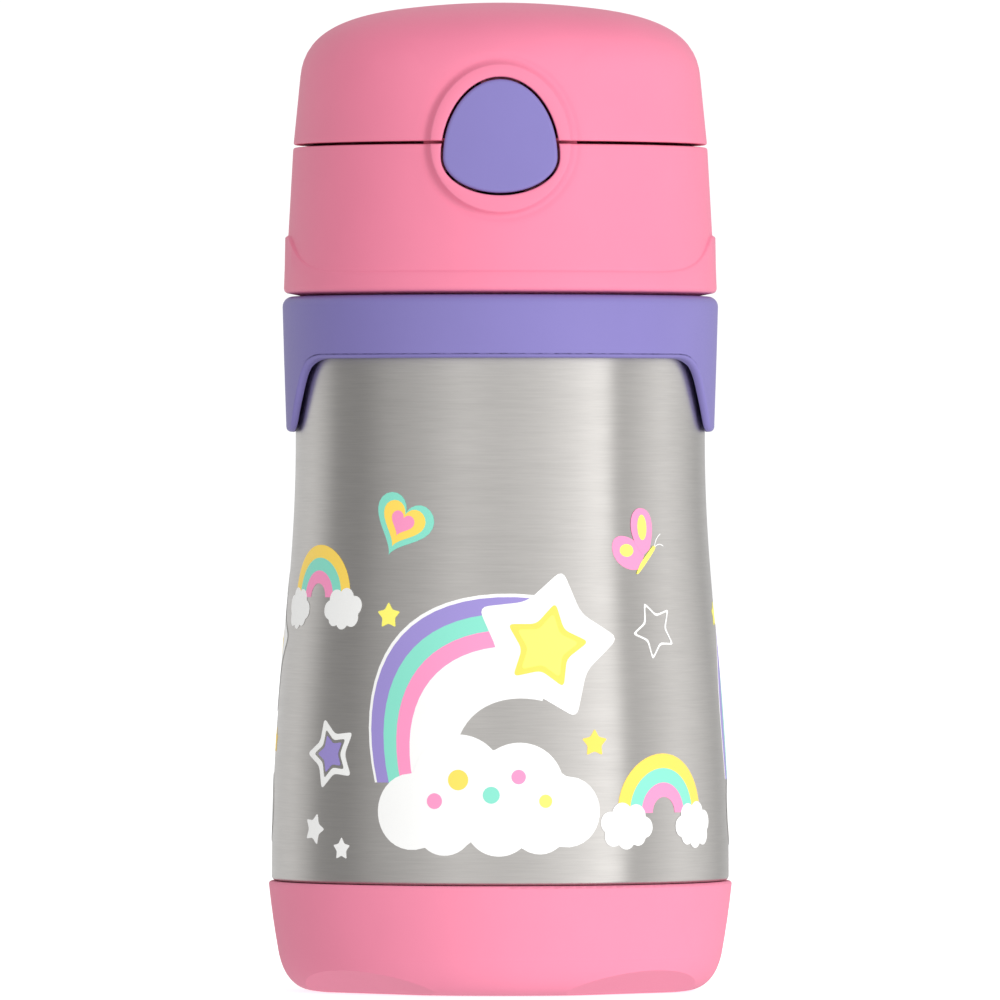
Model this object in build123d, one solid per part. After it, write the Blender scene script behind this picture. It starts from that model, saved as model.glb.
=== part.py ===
"""Kids' insulated straw bottle: a double-walled steel flask with a soft boot and a screw lid.

The lid carries a sprung flip cover, a push button and a folding silicone mouthpiece with a straw.
A grip collar with two side tabs sits on the flask's shoulder.
Millimetres. Z is up, the origin is the middle of the base, and the button faces -Y.
"""

from build123d import *
import math
import os

# ---- driving sizes: flask -------------------------------------------------------------------
FOOT_RADIUS = 38.2          # steel just above the boot, the widest part of the flask
WAIST_RADIUS = 34.2         # steel under the collar
WAIST_START = 92.0          # height where the flare ends and the waist runs straight
FLARE_START = 19.1          # height of the widest part, above the step
SHOULDER_START = 107.5
SHOULDER_RADIUS = 3.2
NECK_RADIUS = 29.5
NECK_TURN = WAIST_RADIUS - SHOULDER_RADIUS - NECK_RADIUS
STEP_TURN = 1.8             # bend where the steel steps in under the boot
NECK_TOP = 128.7
SHELL_WALL = 0.5
SHELL_FOOT = 6.0            # lower edge of the steel, inside the boot
LINER_WALL = 0.4
LINER_RADIUS = 30.0         # vacuum side of the liner
LINER_FLOOR = 11.0
LINER_NECK_RADIUS = 28.0
BOOT_TOP = 18.3
BOOT_SEAT_RADIUS = 35.7     # steel inside the boot
SOFT_FIT = 0.1              # gap between the boot or collar and the steel

# ---- driving sizes: thread ------------------------------------------------------------------
LEAD = 4.0
NECK_TURNS = 1.5
LID_TURNS = 1.25
NECK_THREAD_START = 119.0
THREAD_CREST = 30.9
LID_THREAD_CREST = 29.85
LID_BORE_RADIUS = 31.2
THREAD_ROOT_WIDTH = 1.9
THREAD_CREST_WIDTH = 0.8
LID_THREAD_LIFT = 1.4       # how far up its helix the lid's ridge starts
THREAD_BITE = 0.3           # how far a thread's root is sunk into its wall

# ---- driving sizes: lid ---------------------------------------------------------------------
LID_BOTTOM = 116.4
SEAM = 141.0                # height where the cover meets the lid
SEAM_GAP = 0.5
LID_TOP_RADIUS = 34.6
DRAFT = 0.056               # change of radius per millimetre of height, on the lid's wall
BAND_RADIUS = 36.05
BAND_FRONT = 119.8          # top of the raised band at the front and back
BAND_PEAK = 126.1           # top of the raised band at the sides
LID_INNER_RADIUS = 33.2
DECK_LOW = 133.0
DECK_TOP = 134.8
CORE_TOP = 132.4
CORE_CEILING = 131.0
TOTAL_HEIGHT = 165.0

# ---- driving sizes: cover -------------------------------------------------------------------
COVER_EDGE_RADIUS = 34.6
COVER_DRAFT = 0.1
COVER_WALL_TOP = 152.8
CROWN_START_RADIUS = 16.1
CROWN_START = 164.0
COVER_WALL = 1.8

# ---- driving sizes: hinge, button, latch, mouthpiece ------------------------------------------
HINGE_Y = 35.6
KNUCKLE_RADIUS = 3.0
KNUCKLE_GAP = 0.35
PIN_RADIUS = 1.1
COVER_KNUCKLE_HALF = 8.7
EAR_INNER = 9.0
EAR_OUTER = 13.4
SPRING_WINDOW_HALF = 5.2
BUTTON_HALF_WIDTH = 9.45
BUTTON_TOP = 151.4
BUTTON_BOTTOM = 132.6
BUTTON_WIDEST = 138.5
BUTTON_GAP = 0.4
BUTTON_EDGE = 0.6           # rounding of the button's front edge
BUTTON_POINT = 0.55         # how blunt the top of the button's egg shape is
BUTTON_BACK = -32.7         # rear face of the button's plate
BUTTON_WEB = 0.5            # how far rails, boss and hook are sunk into that plate
BEZEL_HALF_WIDTH = 11.35
BEZEL_TOP = 153.8
BEZEL_BOTTOM = 129.3
BEZEL_WIDEST = 140.5
BEZEL_POINT = 0.56
BEZEL_PROUD = 0.6           # how far the bezel stands out of the wall on the centre line
FACE_RADIUS = 60.0          # the bezel's face is flatter than the lid
FACE_LEAN = 0.075           # change of that radius per millimetre of height
FACE_LOW = 126.0
FACE_HIGH = 160.0
FRONT = -45.0               # a depth in front of the whole bottle, where cutters start
EAR_ROOT = 131.0            # height where the lid's hinge ears run into its wall
POCKET_BACK = -29.8         # how far back the button's pocket reaches
HOUSING_BACK = -19.5
BUTTON_RAIL_OUTER = 8.6
MOUTH_Y = 2.0
VENT_Y = 19.0
VENT_HOLE = 1.2
NIPPLE_RADIUS = 5.0
STEM_RADIUS = 8.8
FLANGE_RADIUS = 11.0
FLANGE_LOW = CORE_TOP + 0.02
FLANGE_TOP = DECK_LOW + 0.78
FOLD_DEG = 62.0
FOLD_Z = 140.3
SPOUT_RADIUS = 5.0
SIP_BORE = 2.6
STRAW_RADIUS = 3.4


def revolved(*edges):
    """A solid of revolution about Z from edges drawn as (radius, height)."""
    return revolve(Plane.XZ * make_face(Curve() + list(edges)), Axis.Z)


def revolved_outline(*points):
    """A solid of revolution about Z from corner points (radius, height)."""
    return revolve(Plane.XZ * make_face(Polyline(*points, close=True)), Axis.Z)


def pressed_sheet(wall, *edges):
    """A thin sheet turned about Z: the edges are one face, and the wall lies on their left."""
    line = Wire(list(edges))
    strip = line.offset_2d(wall, side=Side.LEFT, closed=True)
    return revolve(Plane.XZ * Face(strip), Axis.Z)


def tube(outer, inner, low, high, x=0.0, y=0.0):
    ring = Circle(outer) - Circle(inner) if inner else Circle(outer)
    return extrude(Pos(x, y, low) * ring, high - low)


def block(x0, x1, y0, y1, z0, z1):
    return Pos((x0 + x1) / 2, (y0 + y1) / 2, (z0 + z1) / 2) * Box(x1 - x0, y1 - y0, z1 - z0)


def rod_x(radius, x0, x1, y, z):
    """A round bar along X."""
    return Pos((x0 + x1) / 2, y, z) * Rot(0, 90, 0) * Cylinder(radius, x1 - x0)


def egg(half_width, top, bottom, widest, point, grow=0.0):
    """A flat egg outline in X and height, grown outwards. A smaller point gives a sharper top."""
    w = half_width + grow
    up = top + grow - widest
    down = widest - bottom + grow
    round_share = 0.5523
    high = widest + up
    low = widest - down
    right = [
        Bezier((0, low), (round_share * w, low), (w, widest - round_share * down), (w, widest)),
        Bezier((w, widest), (w, widest + 0.55 * up), (point * w, high), (0, high)),
    ]
    left = [mirror(edge, Plane.YZ) for edge in right]
    return make_face(Curve() + right + left)


def egg_prism(face, y_out, y_in):
    """An egg outline made solid from y_out, nearest the front, back to y_in."""
    front = Plane(origin=(0, y_out, 0), x_dir=(1, 0, 0), z_dir=(0, -1, 0))
    return extrude(front * face, y_in - y_out, dir=(0, 1, 0))


def leaning_face(front_y):
    """A wide, slightly tapered drum whose front touches front_y at the seam's height."""
    return Solid.make_cone(
        FACE_RADIUS + FACE_LEAN * (SEAM - FACE_LOW),
        FACE_RADIUS - FACE_LEAN * (FACE_HIGH - SEAM),
        FACE_HIGH - FACE_LOW,
        Plane((0, front_y + FACE_RADIUS, FACE_LOW)),
    )


def helix_ridge(wall_radius, crest_radius, start, turns):
    """One thread ridge: a tapered bar that follows a right-hand helix on a round wall."""
    outward = math.copysign(1.0, crest_radius - wall_radius)
    root = wall_radius - outward * THREAD_BITE
    path = Helix(LEAD, LEAD * turns, root)
    section = Polyline(
        (root, -THREAD_ROOT_WIDTH / 2),
        (crest_radius, -THREAD_CREST_WIDTH / 2),
        (crest_radius, THREAD_CREST_WIDTH / 2),
        (root, THREAD_ROOT_WIDTH / 2),
        close=True,
    )
    ridge = sweep(Plane.XZ * make_face(section), path=path, is_frenet=True)
    return Pos(0, 0, start) * ridge


# ---- flask ------------------------------------------------------------------------------------
def shell_line(inset):
    """The outer shell's steel line from its foot to the mouth, moved in by inset."""
    seat, foot = BOOT_SEAT_RADIUS - inset, FOOT_RADIUS - inset
    waist, neck = WAIST_RADIUS - inset, NECK_RADIUS - inset
    hollow, swell = STEP_TURN + inset, FOOT_RADIUS - BOOT_SEAT_RADIUS - STEP_TURN - inset
    step = FLARE_START - swell
    shoulder, throat = SHOULDER_RADIUS - inset, NECK_TURN + inset
    top = SHOULDER_START + shoulder
    return [
        Line((seat, SHELL_FOOT), (seat, step - hollow)),
        RadiusArc((seat, step - hollow), (seat + hollow, step), hollow),
        RadiusArc((seat + hollow, step), (foot, FLARE_START), -swell),
        Bezier((foot, FLARE_START), (foot, 52), (waist, 66), (waist, WAIST_START)),
        Line((waist, WAIST_START), (waist, SHOULDER_START)),
        RadiusArc((waist, SHOULDER_START), (waist - shoulder, top), -shoulder),
        RadiusArc((waist - shoulder, top), (neck, top + throat), throat),
        Line((neck, top + throat), (neck, NECK_TOP)),
    ]


def outer_shell():
    ends = [
        Line((BOOT_SEAT_RADIUS, SHELL_FOOT), (BOOT_SEAT_RADIUS - SHELL_WALL, SHELL_FOOT)),
        Line((NECK_RADIUS, NECK_TOP), (NECK_RADIUS - SHELL_WALL, NECK_TOP)),
    ]
    sheet = revolved(*shell_line(0), *shell_line(SHELL_WALL), *ends)
    return sheet + helix_ridge(NECK_RADIUS, THREAD_CREST, NECK_THREAD_START, NECK_TURNS)


def inner_liner():
    """The drinking vessel. Its lip turns out over the outer shell's mouth."""
    body_top = 106.0
    corner = 3.0
    turn = (LINER_RADIUS - LINER_NECK_RADIUS) / 2
    middle = LINER_RADIUS - turn
    neck, neck_low = LINER_NECK_RADIUS, body_top + 2 * turn
    lip_turn = 0.5
    lip = NECK_TOP - lip_turn
    return pressed_sheet(
        LINER_WALL,
        Line((0, LINER_FLOOR), (LINER_RADIUS - corner, LINER_FLOOR)),
        RadiusArc((LINER_RADIUS - corner, LINER_FLOOR), (LINER_RADIUS, LINER_FLOOR + corner), -corner),
        Line((LINER_RADIUS, LINER_FLOOR + corner), (LINER_RADIUS, body_top)),
        RadiusArc((LINER_RADIUS, body_top), (middle, body_top + turn), -turn),
        RadiusArc((middle, body_top + turn), (neck, neck_low), turn),
        Line((neck, neck_low), (neck, lip)),
        RadiusArc((neck, lip), (neck + lip_turn, NECK_TOP), lip_turn),
        Line((neck + lip_turn, NECK_TOP), (NECK_RADIUS, NECK_TOP)),
    )


PLATE_TOP = SHELL_FOOT + 2.5
PLATE_PORT_RADIUS = 0.8


def shell_base_plate():
    """The disc that closes the space between the shell and the liner, welded in the shell's foot."""
    rim = BOOT_SEAT_RADIUS - SHELL_WALL
    bend = 1.0
    plate = pressed_sheet(
        SHELL_WALL,
        Line((rim, SHELL_FOOT), (rim, PLATE_TOP - bend)),
        RadiusArc((rim, PLATE_TOP - bend), (rim - bend, PLATE_TOP), -bend),
        Line((rim - bend, PLATE_TOP), (0, PLATE_TOP)),
    )
    return plate - Cylinder(PLATE_PORT_RADIUS, 30)


def evacuation_seal():
    """The bead that closes the port through which the air was drawn."""
    low = PLATE_TOP - SHELL_WALL
    port = PLATE_PORT_RADIUS - 0.02
    return revolved_outline(
        (0, low - 1.1), (1.0, low - 1.0), (1.9, low - 0.6), (2.4, low),
        (port, low), (port, PLATE_TOP), (0, PLATE_TOP),
    )


def vacuum_getter():
    """A pressed pellet that soaks up stray gas between the walls, in its small tray."""
    x = 14.0
    tray_top = PLATE_TOP + 0.3
    return tube(4.0, 0, PLATE_TOP, tray_top, x=x) + tube(3.2, 0, tray_top, tray_top + 1.0, x=x)


BOOT_FOOT_RADIUS = 31.0
BOOT_FOOT_INNER = 24.2
BOOT_TOP_RADIUS = 38.7
BOOT_CORNER = (37.0, 6.0)
BOOT_BULGE = (37.98, 12.0)
SCALLOP_REACH = 14.1        # distance from the origin to each scallop's flat
SCALLOP_LEAN = 61.0         # how far down that flat faces


def base_boot():
    """The soft boot: its rim lies under the steel's step, and four scallops lighten its foot."""
    seat = BOOT_SEAT_RADIUS + SOFT_FIT
    edge = 0.5
    floor_top = SHELL_FOOT - SOFT_FIT
    hollow = 3.0
    # the inner edge is rounded about the same centre as the steel's bend
    rounding = STEP_TURN - SOFT_FIT
    crest, rim = seat + rounding, BOOT_TOP - edge
    body = revolved(
        Line((0, hollow), (BOOT_FOOT_INNER - 1.2, hollow)),
        Line((BOOT_FOOT_INNER - 1.2, hollow), (BOOT_FOOT_INNER, 0)),
        Line((BOOT_FOOT_INNER, 0), (BOOT_FOOT_RADIUS, 0)),
        Bezier((BOOT_FOOT_RADIUS, 0), (34.2, 0), (36.2, 2.4), BOOT_CORNER),
        ThreePointArc(BOOT_CORNER, BOOT_BULGE, (BOOT_TOP_RADIUS, rim)),
        RadiusArc((BOOT_TOP_RADIUS, rim), (BOOT_TOP_RADIUS - edge, BOOT_TOP), -edge),
        Line((BOOT_TOP_RADIUS - edge, BOOT_TOP), (crest, BOOT_TOP)),
        RadiusArc((crest, BOOT_TOP), (seat, BOOT_TOP - rounding), -rounding),
        Line((seat, BOOT_TOP - rounding), (seat, floor_top)),
        Line((seat, floor_top), (0, floor_top)),
        Line((0, floor_top), (0, hollow)),
    )
    scallop = Pos(SCALLOP_REACH + 10, 0, 0) * Box(20, 60, 100)
    for turn in (45, 135, 225, 315):
        body -= Rot(0, 0, turn) * Rot(0, SCALLOP_LEAN, 0) * scallop
    return body


COLLAR_TOP = 115.9
COLLAR_BOTTOM = 105.4
COLLAR_RADIUS = 36.4
COLLAR_DRAFT = 0.25         # how much the collar narrows to its lower edge
TAB_TIP = 93.3
TAB_WALL = 1.45
TAB_DRAFT = 0.35            # how much the tabs' outside leans in towards the tip


def grip_collar():
    """The ring on the flask's shoulder, with a lip round the neck and a tab down each side."""
    skirt = WAIST_RADIUS + SOFT_FIT
    neck_hole = THREAD_CREST + 0.3
    lip = neck_hole + 1.2
    ceiling = COLLAR_TOP - 2.0
    edge = 1.7
    lip_foot = SHOULDER_START + SHOULDER_RADIUS + SOFT_FIT + 0.4
    outside = COLLAR_RADIUS - COLLAR_DRAFT
    ring = revolved(
        Line((skirt, COLLAR_BOTTOM), (skirt, ceiling)),
        Line((skirt, ceiling), (lip, ceiling)),
        Line((lip, ceiling), (lip, lip_foot)),
        Line((lip, lip_foot), (neck_hole, lip_foot)),
        Line((neck_hole, lip_foot), (neck_hole, COLLAR_TOP)),
        Line((neck_hole, COLLAR_TOP), (COLLAR_RADIUS - edge, COLLAR_TOP)),
        RadiusArc((COLLAR_RADIUS - edge, COLLAR_TOP), (COLLAR_RADIUS, COLLAR_TOP - edge), edge),
        Line((COLLAR_RADIUS, COLLAR_TOP - edge), (outside, COLLAR_BOTTOM)),
        Line((outside, COLLAR_BOTTOM), (skirt, COLLAR_BOTTOM)),
    )
    overlap = 2.0
    base = COLLAR_BOTTOM + overlap
    strip = revolved_outline(
        (outside - TAB_WALL, TAB_TIP - 1),
        (outside - TAB_DRAFT, TAB_TIP - 1),
        (outside, COLLAR_BOTTOM),
        (outside, base),
        (outside - TAB_WALL, base),
    )
    root, flank, corner, tip = (20.8, COLLAR_BOTTOM + 0.01), (12.0, 99.3), (9.9, 96.4), (5.5, TAB_TIP)
    return ring + (strip & side_bar([
        Line((0, base), (root[0], base)),
        Line((root[0], base), root),
        Bezier(root, (15.8, COLLAR_BOTTOM), (13.9, 102.3), flank),
        Line(flank, corner),
        Bezier(corner, (9.2, 95.4), (8.0, TAB_TIP), tip),
        Line(tip, (0, TAB_TIP)),
    ]))


def side_bar(half):
    """A bar along X from half of an outline seen from the side, mirrored to the other half."""
    edges = half + [mirror(edge, Plane.YZ) for edge in half]
    side = Plane(origin=(-50, 0, 0), x_dir=(0, 1, 0), z_dir=(1, 0, 0))
    return extrude(side * make_face(Curve() + edges), 100)


# ---- lid --------------------------------------------------------------------------------------
def lid_wall_radius(height):
    return LID_TOP_RADIUS + DRAFT * (SEAM - height)


def bezel_boss(low, high):
    """The raised surround of the button, between two heights."""
    outline = egg(BEZEL_HALF_WIDTH, BEZEL_TOP, BEZEL_BOTTOM, BEZEL_WIDEST, BEZEL_POINT)
    boss = egg_prism(outline, FRONT, -29.5) & leaning_face(-(LID_TOP_RADIUS + BEZEL_PROUD))
    boss -= Cylinder(LID_TOP_RADIUS - 1.0, FACE_HIGH, align=(Align.CENTER, Align.CENTER, Align.MIN))
    return boss & block(-20, 20, FRONT, -20, low, high)


def button_opening(gap):
    return egg(BUTTON_HALF_WIDTH, BUTTON_TOP, BUTTON_BOTTOM, BUTTON_WIDEST, BUTTON_POINT, grow=gap)


def raised_band():
    """The band round the lid's foot. Its upper edge rises to a flat peak at each side."""
    edge = 0.9
    top = BAND_PEAK + 1
    bend = 124.6
    ring = revolved(
        Line((LID_INNER_RADIUS, LID_BOTTOM), (BAND_RADIUS - edge, LID_BOTTOM)),
        RadiusArc((BAND_RADIUS - edge, LID_BOTTOM), (BAND_RADIUS, LID_BOTTOM + edge), -edge),
        Line((BAND_RADIUS, LID_BOTTOM + edge), (BAND_RADIUS, bend)),
        Line((BAND_RADIUS, bend), (BAND_RADIUS - 0.2, top)),
        Line((BAND_RADIUS - 0.2, top), (LID_INNER_RADIUS, top)),
        Line((LID_INNER_RADIUS, top), (LID_INNER_RADIUS, LID_BOTTOM)),
    )
    peak, ramp_end, outside, low = 5.5, 25.0, 40.0, LID_BOTTOM - 1
    return ring & side_bar([
        Line((0, BAND_PEAK), (peak, BAND_PEAK)),
        Bezier((peak, BAND_PEAK), (9.5, BAND_PEAK), (11.5, BAND_FRONT + 0.1), (ramp_end, BAND_FRONT)),
        Line((ramp_end, BAND_FRONT), (outside, BAND_FRONT)),
        Line((outside, BAND_FRONT), (outside, low)),
        Line((outside, low), (0, low)),
    ])


def hinge_arm(x0, x1, y, z, radius):
    """A knuckle that tapers into the wall: the hull of its barrel and of a small circle at (y, z)."""
    barrel = Pos(HINGE_Y, SEAM) * Circle(KNUCKLE_RADIUS)
    root = Pos(y, z) * Circle(radius)
    side = Plane(origin=(x0, 0, 0), x_dir=(0, 1, 0), z_dir=(1, 0, 0))
    return extrude(side * make_hull(barrel.edges() + root.edges()), x1 - x0)


def lid_shell():
    """The lid's outer wall, with its band, the lower half of the button's surround and the hinge ears."""
    rim_top = SEAM - SEAM_GAP / 2
    edge = 0.35
    start = LID_BOTTOM + 1
    foot, rim = (lid_wall_radius(start), start), (lid_wall_radius(rim_top - edge), rim_top - edge)
    shell = revolved(
        Line((LID_INNER_RADIUS, start), foot),
        Line(foot, rim),
        RadiusArc(rim, (LID_TOP_RADIUS - edge, rim_top), -edge),
        Line((LID_TOP_RADIUS - edge, rim_top), (LID_INNER_RADIUS, rim_top)),
        Line((LID_INNER_RADIUS, rim_top), (LID_INNER_RADIUS, start)),
    )
    shell += raised_band()
    shell += bezel_boss(BEZEL_BOTTOM - 1, rim_top)
    shell -= egg_prism(button_opening(BUTTON_GAP), FRONT, POCKET_BACK)
    for side in (-1, 1):
        x0, x1 = sorted((side * EAR_INNER, side * EAR_OUTER))
        shell += hinge_arm(x0, x1, lid_wall_radius(EAR_ROOT) - 1.9, EAR_ROOT, 1.5)
    # clearance for the cover's knuckle, the pin's bore and the spring's window
    shell -= rod_x(KNUCKLE_RADIUS + KNUCKLE_GAP, -EAR_INNER, EAR_INNER, HINGE_Y, SEAM)
    shell -= rod_x(PIN_RADIUS + 0.02, -20, 20, HINGE_Y, SEAM)
    return shell - block(-SPRING_WINDOW_HALF, SPRING_WINDOW_HALF, 30, 36, SEAM - 2.3, SEAM + 1)


def lid_deck():
    """The floor of the lid's tray, with the housing that guides the button and backs its spring."""
    deck = tube(LID_INNER_RADIUS - 0.05, 0, DECK_LOW, DECK_TOP)
    # a hole for the mouthpiece, with a shallow seat for its flange under the deck
    deck -= Pos(0, MOUTH_Y, DECK_TOP) * Cylinder(STEM_RADIUS + 0.2, 10)
    deck -= Pos(0, MOUTH_Y, DECK_LOW) * Cylinder(FLANGE_RADIUS + 0.3, 2 * (FLANGE_TOP + 0.02 - DECK_LOW))
    deck -= Pos(0, VENT_Y, DECK_TOP) * Cylinder(VENT_HOLE, 10)
    deck -= egg_prism(button_opening(BUTTON_GAP), FRONT, POCKET_BACK)
    cheek_in = BUTTON_RAIL_OUTER + 0.3
    cheek_out = cheek_in + 1.4
    low, high = DECK_TOP - 0.2, SEAM - 0.85
    for side in (-1, 1):
        x0, x1 = sorted((side * cheek_in, side * cheek_out))
        deck += block(x0, x1, POCKET_BACK, HOUSING_BACK, low, high)
    return deck + block(-cheek_out, cheek_out, HOUSING_BACK - 1.4, HOUSING_BACK, low, high)


def lid_core():
    """The threaded inner cup, with a ceiling over the mouth and a plug ring that centres it."""
    outside = LID_INNER_RADIUS - 0.1
    low, bore_top, wall_top = 117.2, 127.4, 127.0
    crown = 28.5
    plug_low = 124.2
    cup = revolved(
        Line((LID_BORE_RADIUS, low), (outside, low)),
        Line((outside, low), (outside, wall_top)),
        Bezier((outside, wall_top), (outside - 0.3, 131.8), (30.4, CORE_TOP), (crown, CORE_TOP)),
        Line((crown, CORE_TOP), (0, CORE_TOP)),
        Line((0, CORE_TOP), (0, CORE_CEILING)),
        Line((0, CORE_CEILING), (24.6, CORE_CEILING)),
        Line((24.6, CORE_CEILING), (24.9, plug_low)),
        Line((24.9, plug_low), (26.3, plug_low)),
        Line((26.3, plug_low), (26.6, CORE_CEILING)),
        Line((26.6, CORE_CEILING), (30.2, CORE_CEILING)),
        Line((30.2, CORE_CEILING), (LID_BORE_RADIUS, bore_top)),
        Line((LID_BORE_RADIUS, bore_top), (LID_BORE_RADIUS, low)),
    )
    # the lid's ridge runs half a lead away from the flask's, so it lies between its turns
    start = NECK_THREAD_START - LEAD / 2 + LID_THREAD_LIFT
    ridge = helix_ridge(LID_BORE_RADIUS, LID_THREAD_CREST, start, LID_TURNS)
    cup += Rot(0, 0, 360 * LID_THREAD_LIFT / LEAD) * ridge
    cup -= Pos(0, MOUTH_Y, CORE_TOP) * Cylinder(NIPPLE_RADIUS + 0.2, 10)
    return cup - Pos(0, VENT_Y, CORE_TOP) * Cylinder(VENT_HOLE, 10)


def lid_gasket():
    """The silicone ring squeezed between the flask's mouth and the lid's ceiling."""
    low = NECK_TOP + LINER_WALL + 0.15
    high = CORE_CEILING - 0.15
    middle = (low + high) / 2
    inner, outer, bulge = 27.3, 29.6, 0.45
    return revolved(
        Line((inner, low), (outer, low)),
        ThreePointArc((outer, low), (outer + bulge, middle), (outer, high)),
        Line((outer, high), (inner, high)),
        ThreePointArc((inner, high), (inner - bulge, middle), (inner, low)),
    )


NECK_LOW = 137.0
BEND_RADIUS = 5.5
STEM_TOP = 135.2
STRAW_TOP = 130.5
NIPPLE_LOW = 122.0


def mouthpiece_base():
    """The silicone flange, its raised neck and the nipple that holds the straw."""
    socket = STRAW_RADIUS + 0.02
    tip = NIPPLE_RADIUS - 0.2
    body = revolved(
        Line((SIP_BORE, NECK_LOW), (SPOUT_RADIUS, NECK_LOW)),
        Bezier((SPOUT_RADIUS, NECK_LOW), (SPOUT_RADIUS, 135.6), (7.0, 135.4), (STEM_RADIUS, STEM_TOP)),
        Line((STEM_RADIUS, STEM_TOP), (STEM_RADIUS, FLANGE_TOP)),
        Line((STEM_RADIUS, FLANGE_TOP), (FLANGE_RADIUS, FLANGE_TOP)),
        Line((FLANGE_RADIUS, FLANGE_TOP), (FLANGE_RADIUS, FLANGE_LOW)),
        Line((FLANGE_RADIUS, FLANGE_LOW), (NIPPLE_RADIUS, FLANGE_LOW)),
        Line((NIPPLE_RADIUS, FLANGE_LOW), (tip, NIPPLE_LOW)),
        Line((tip, NIPPLE_LOW), (socket, NIPPLE_LOW)),
        Line((socket, NIPPLE_LOW), (socket, STRAW_TOP)),
        Line((socket, STRAW_TOP), (SIP_BORE, STRAW_TOP)),
        Line((SIP_BORE, STRAW_TOP), (SIP_BORE, NECK_LOW)),
    )
    return Pos(0, MOUTH_Y, 0) * body


def fold_point(distance):
    """A point on the folded spout's centre line, so far from the fold."""
    turn = math.radians(FOLD_DEG)
    return (0, MOUTH_Y - distance * math.sin(turn), FOLD_Z + distance * math.cos(turn))


def fold_plane(distance):
    turn = math.radians(FOLD_DEG)
    return Plane(origin=fold_point(distance), x_dir=(1, 0, 0), z_dir=(0, -math.sin(turn), math.cos(turn)))


def mouthpiece_neck():
    """The soft bend between the neck and the spout. It straightens when the cover opens."""
    ring = Plane((0, MOUTH_Y, NECK_LOW)) * (Circle(SPOUT_RADIUS - 0.05) - Circle(SIP_BORE))
    hinge = Axis((0, MOUTH_Y - BEND_RADIUS, NECK_LOW), (1, 0, 0))
    return revolve(ring, hinge, FOLD_DEG)


SPOUT_START = BEND_RADIUS * math.tan(math.radians(FOLD_DEG / 2)) + 0.12
SPOUT_END = 23.3


def mouthpiece_spout():
    """The part the child drinks from: a soft tube with a waist and a rolled lip at its tip."""
    end = SPOUT_END - SPOUT_START
    waist = 4.3
    side, bead, lip = (SPOUT_RADIUS - 0.4, end - 6), (waist + 0.3, end - 1.6), (waist - 1.0, end)
    body = revolved(
        Line((SIP_BORE, 0), (SPOUT_RADIUS, 0)),
        Line((SPOUT_RADIUS, 0), side),
        Bezier(side, (waist, end - 4), (waist, end - 3), bead),
        Bezier(bead, (waist + 0.4, end - 0.4), (waist - 0.4, end), lip),
        Line(lip, (SIP_BORE, end)),
        Line((SIP_BORE, end), (SIP_BORE, 0)),
    )
    return fold_plane(SPOUT_START).location * body


def straw():
    """A straight tube, cut at a slant just above the vessel's floor."""
    low = 14.0
    slant = Pos(0, MOUTH_Y, low - 1.0) * Rot(30, 0, 0) * Box(20, 20, 5)
    return tube(STRAW_RADIUS, SIP_BORE, low, STRAW_TOP - 0.1, y=MOUTH_Y) - slant


def vent_valve():
    """A mushroom valve that lets air in as the child drinks."""
    cap, stem = 2.6, VENT_HOLE - 0.1
    seat, shelf, top = CORE_CEILING - 0.02, CORE_TOP + 0.02, CORE_TOP + 0.5
    return Pos(0, VENT_Y, 0) * revolved_outline(
        (0, seat - 0.78), (cap, seat - 0.28), (cap, seat), (stem, seat),
        (stem, shelf), (stem + 0.6, shelf), (stem - 0.1, top), (0, top),
    )


def hinge_pin():
    return rod_x(PIN_RADIUS, -EAR_OUTER + 0.2, EAR_OUTER - 0.2, HINGE_Y, SEAM)


COIL_MEAN_RADIUS = 1.62
HINGE_WIRE = 0.22


def cover_spring():
    """A torsion spring round the hinge pin: one leg presses on the lid's rim, one lifts the cover."""
    turns = 7
    half = 3.6
    reach = 3.0
    coil = Helix(2 * half / turns, 2 * half, COIL_MEAN_RADIUS)
    coil = Pos(-half, HINGE_Y, SEAM) * Rot(0, 90, 0) * coil
    coil = coil.edge()
    body = sweep(Plane(coil @ 0, z_dir=coil % 0) * Circle(HINGE_WIRE), path=coil, is_frenet=True)
    for end in (coil @ 0, coil @ 1):
        body += Pos(end.X, end.Y, end.Z) * Sphere(HINGE_WIRE * 1.02)
        body += Pos(end.X, end.Y - reach / 2, end.Z) * Rot(90, 0, 0) * Cylinder(HINGE_WIRE, reach)
    return body


BUTTON_SPRING_RADIUS = 2.3
BUTTON_WIRE = 0.3
BUTTON_SPRING_FRONT = -31.2
BUTTON_SPRING_BACK = -20.95
BUTTON_SPRING_Z = 138.2


def button_spring():
    """A compression spring between the button's boss and the housing's back wall."""
    turns = 6
    gap = 0.05
    length = BUTTON_SPRING_BACK - BUTTON_SPRING_FRONT - 2 * (BUTTON_WIRE + gap)
    coil = Helix(length / turns, length, BUTTON_SPRING_RADIUS)
    start = BUTTON_SPRING_FRONT + BUTTON_WIRE + gap
    coil = Pos(0, start, BUTTON_SPRING_Z) * Rot(-90, 0, 0) * coil
    coil = coil.edge()
    return sweep(Plane(coil @ 0, z_dir=coil % 0) * Circle(BUTTON_WIRE), path=coil, is_frenet=True)


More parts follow.
